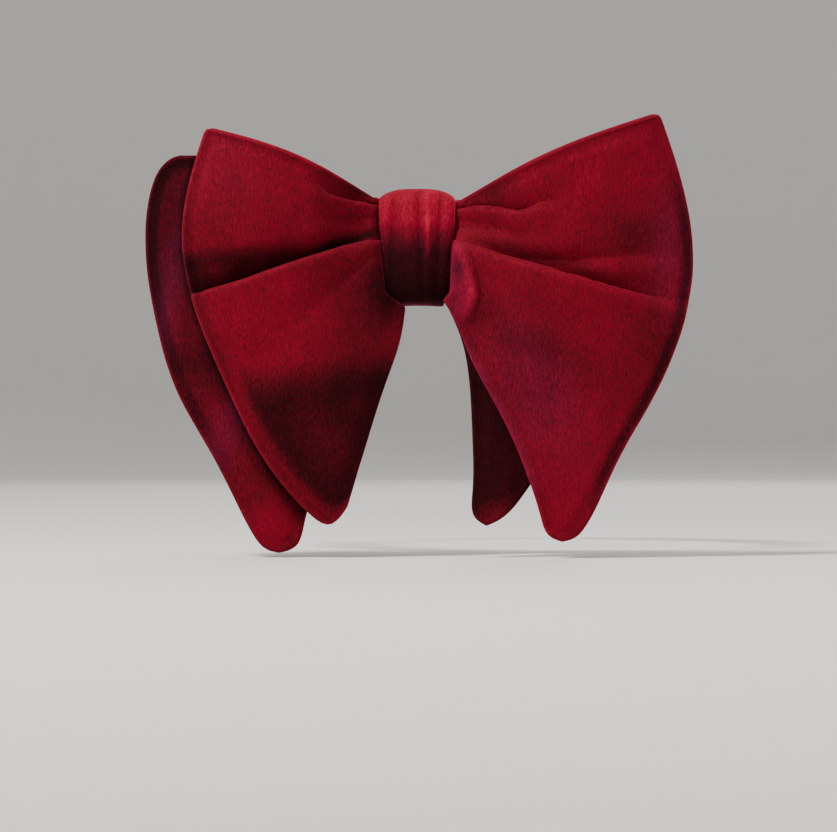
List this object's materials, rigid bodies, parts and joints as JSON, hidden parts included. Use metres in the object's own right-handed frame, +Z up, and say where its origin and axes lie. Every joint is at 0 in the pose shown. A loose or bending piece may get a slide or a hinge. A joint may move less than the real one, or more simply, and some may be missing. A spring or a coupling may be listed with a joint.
{
  "type": "bow tie",
  "caption": "Oversized drooping velvet bow tie, pre-tied in two layered bows under a wrapped knot, on an adjustable neck band that closes with a hook and eye.",
  "frame": {"origin": "centre of the closed neck loop, at mid width of the band", "axes": "+Z up along the loop's axis; the bow is at -Y and faces -Y; +X is to the right when the bow is looked at from the front"},
  "size_m": [0.1576, 0.1511, 0.1254],
  "materials": {
    "velvet": "crimson cut-pile velvet",
    "band_ribbon": "fine ribbed ribbon, dark crimson",
    "interlining": "stiff woven canvas",
    "wadding": "soft felted wadding",
    "thread": "twisted polyester thread",
    "nickel": "nickel plated, polished"
  },
  "bodies": {
    "bow": {"front_bow_face": "velvet", "front_bow_interlining": "interlining", "front_bow_back": "velvet", "front_gather_thread": "thread", "back_bow_face": "velvet", "back_bow_interlining": "interlining", "back_bow_back": "velvet", "back_gather_thread": "thread", "knot_wrap": "velvet", "knot_padding": "wadding", "knot_closing_stitches": "thread", "band_centre": "band_ribbon", "band_tack_stitches": "thread"},
    "left_strap": {"left_strap": "band_ribbon", "left_strap_interlining": "interlining", "left_bartack": "thread"},
    "eye": {"eye": "nickel"},
    "right_strap": {"right_strap": "band_ribbon", "right_strap_interlining": "interlining", "right_strap_return": "band_ribbon"},
    "slider": {"slider": "nickel", "slider_fold": "band_ribbon", "slider_bartack": "thread"},
    "hook": {"hook": "nickel"}
  },
  "joints": [
    {"name": "left_strap_swing", "type": "hinge", "parent": "bow", "child": "left_strap", "pos_m": [-0.01442, -0.06102, 0], "axis": [0, 0, 1], "range_deg": [0, 30]},
    {"name": "right_strap_swing", "type": "hinge", "parent": "bow", "child": "right_strap", "pos_m": [0.01502, -0.06355, 0], "axis": [0, 0, -1], "range_deg": [0, 30]},
    {"name": "eye_pivot", "type": "hinge", "parent": "left_strap", "child": "eye", "pos_m": [-0.012, 0.0625, 0], "axis": [0, 0, -1], "range_deg": [0, 40]},
    {"name": "hook_pivot", "type": "hinge", "parent": "right_strap", "child": "hook", "pos_m": [0.012, 0.0632, 0], "axis": [0, 0, -1], "range_deg": [-7, 80]},
    {"name": "slider_travel", "type": "hinge", "parent": "right_strap", "child": "slider", "pos_m": [0, 0, 0], "axis": [0, 0, 1], "range_deg": [-18, 14]}
  ]
}
